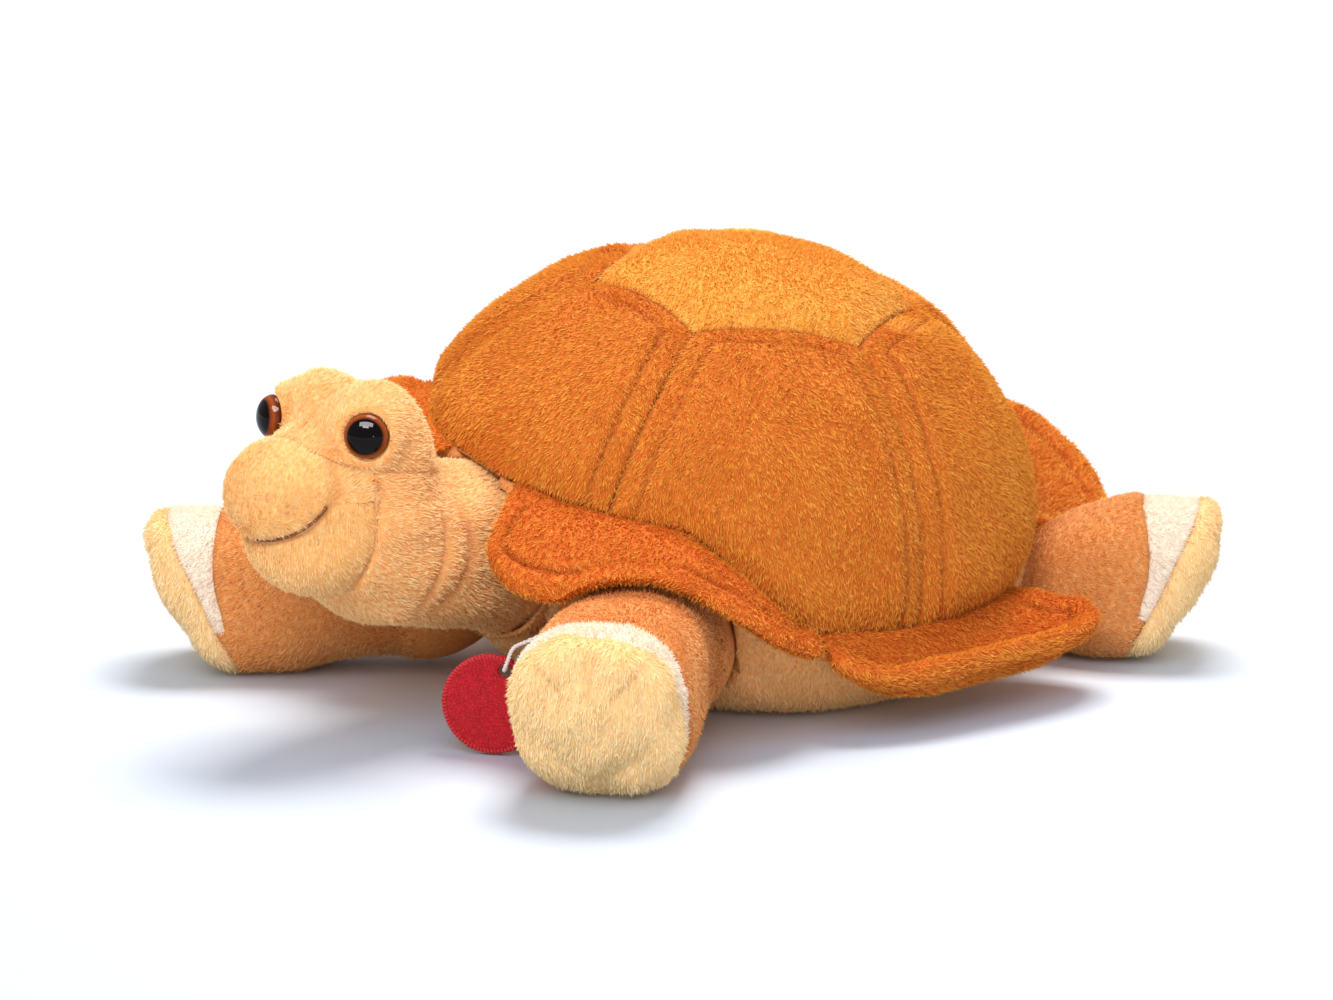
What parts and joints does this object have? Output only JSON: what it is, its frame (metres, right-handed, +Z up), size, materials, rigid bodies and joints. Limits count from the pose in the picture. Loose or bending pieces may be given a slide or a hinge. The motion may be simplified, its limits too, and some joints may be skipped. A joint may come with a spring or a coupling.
{
  "type": "plush turtle",
  "caption": "Plush turtle: stuffed body lying flat, padded panelled shell with flared brim flaps, sewn head and legs that turn on soft joints, glossy eyes and a hanging felt tag.",
  "frame": {"origin": "on the ground under the belly, on the flat face the toy lies on", "axes": "+Z up, -Y the way the turtle faces, +X its left side"},
  "size_m": [0.218, 0.3, 0.1243],
  "materials": {
    "shell_orange": "short-pile plush",
    "brim_orange": "short-pile plush",
    "body_peach": "short-pile plush",
    "leg_tan": "short-pile plush",
    "sole_cream": "short-pile plush",
    "toe_pale": "short-pile plush",
    "stuffing_white": "loose polyester filling, pressed to one form",
    "eye_black": "high gloss",
    "washer_grey": "matte",
    "mouth_thread": "embroidery thread",
    "tag_red": "felt",
    "tag_cord_white": "woven cord"
  },
  "bodies": {
    "body": {"body_casing": "body_peach", "body_stuffing": "stuffing_white", "brim_petal_front_left": "brim_orange", "brim_petal_front_right": "brim_orange", "brim_petal_rear": "brim_orange", "brim_petal_rear_left": "brim_orange", "brim_petal_rear_right": "brim_orange", "shell_panel_front": "shell_orange", "shell_panel_front_left": "shell_orange", "shell_panel_front_right": "shell_orange", "shell_panel_rear": "shell_orange", "shell_panel_rear_left": "shell_orange", "shell_panel_rear_right": "shell_orange", "shell_top_panel": "shell_orange"},
    "neck": {"neck_collar": "body_peach"},
    "head": {"eye_left": "eye_black", "eye_right": "eye_black", "eye_washer_left": "washer_grey", "eye_washer_right": "washer_grey", "head_chin": "sole_cream", "head_crown_left": "body_peach", "head_crown_right": "body_peach", "head_snout": "sole_cream", "head_stuffing": "stuffing_white", "head_throat": "body_peach", "mouth_stitch": "mouth_thread"},
    "leg_front_left": {"leg_front_left_sleeve": "leg_tan", "leg_front_left_sole": "sole_cream", "leg_front_left_stuffing": "stuffing_white", "leg_front_left_toe_patch": "toe_pale", "tag_loop": "tag_cord_white"},
    "leg_front_right": {"leg_front_right_sleeve": "leg_tan", "leg_front_right_sole": "sole_cream", "leg_front_right_stuffing": "stuffing_white", "leg_front_right_toe_patch": "toe_pale"},
    "leg_rear_left": {"leg_rear_left_sleeve": "leg_tan", "leg_rear_left_sole": "sole_cream", "leg_rear_left_stuffing": "stuffing_white", "leg_rear_left_toe_patch": "toe_pale"},
    "leg_rear_right": {"leg_rear_right_sleeve": "leg_tan", "leg_rear_right_sole": "sole_cream", "leg_rear_right_stuffing": "stuffing_white", "leg_rear_right_toe_patch": "toe_pale"},
    "tag": {"tag_disc": "tag_red"}
  },
  "joints": [
    {"name": "head_nod", "type": "hinge", "parent": "body", "child": "neck", "pos_m": [0, -0.0737, 0.0455], "axis": [1, 0, 0], "range_deg": [-2, 9], "stiffness_Nm_per_rad": 1.5},
    {"name": "head_turn", "type": "hinge", "parent": "neck", "child": "head", "pos_m": [0, -0.0737, 0.0455], "axis": [0, 0, 1], "range_deg": [-6, 6], "stiffness_Nm_per_rad": 1},
    {"name": "leg_front_left_swing", "type": "hinge", "parent": "body", "child": "leg_front_left", "pos_m": [0.0486, -0.0598, 0.025], "axis": [0, 0, 1], "range_deg": [-4, 6], "stiffness_Nm_per_rad": 0.25},
    {"name": "leg_front_right_swing", "type": "hinge", "parent": "body", "child": "leg_front_right", "pos_m": [-0.0486, -0.0598, 0.025], "axis": [0, 0, 1], "range_deg": [-6, 4], "stiffness_Nm_per_rad": 0.25},
    {"name": "leg_rear_left_swing", "type": "hinge", "parent": "body", "child": "leg_rear_left", "pos_m": [0.0466, 0.0751, 0.0183], "axis": [0, 0, 1], "range_deg": [-8, 5], "stiffness_Nm_per_rad": 0.25},
    {"name": "leg_rear_right_swing", "type": "hinge", "parent": "body", "child": "leg_rear_right", "pos_m": [-0.0466, 0.0751, 0.0183], "axis": [0, 0, 1], "range_deg": [-5, 8], "stiffness_Nm_per_rad": 0.25},
    {"name": "tag_swing", "type": "hinge", "parent": "leg_front_left", "child": "tag", "pos_m": [0.0404, -0.1018, 0.0241], "axis": [0.788, 0.6157, 0], "range_deg": [-10, 10]}
  ]
}
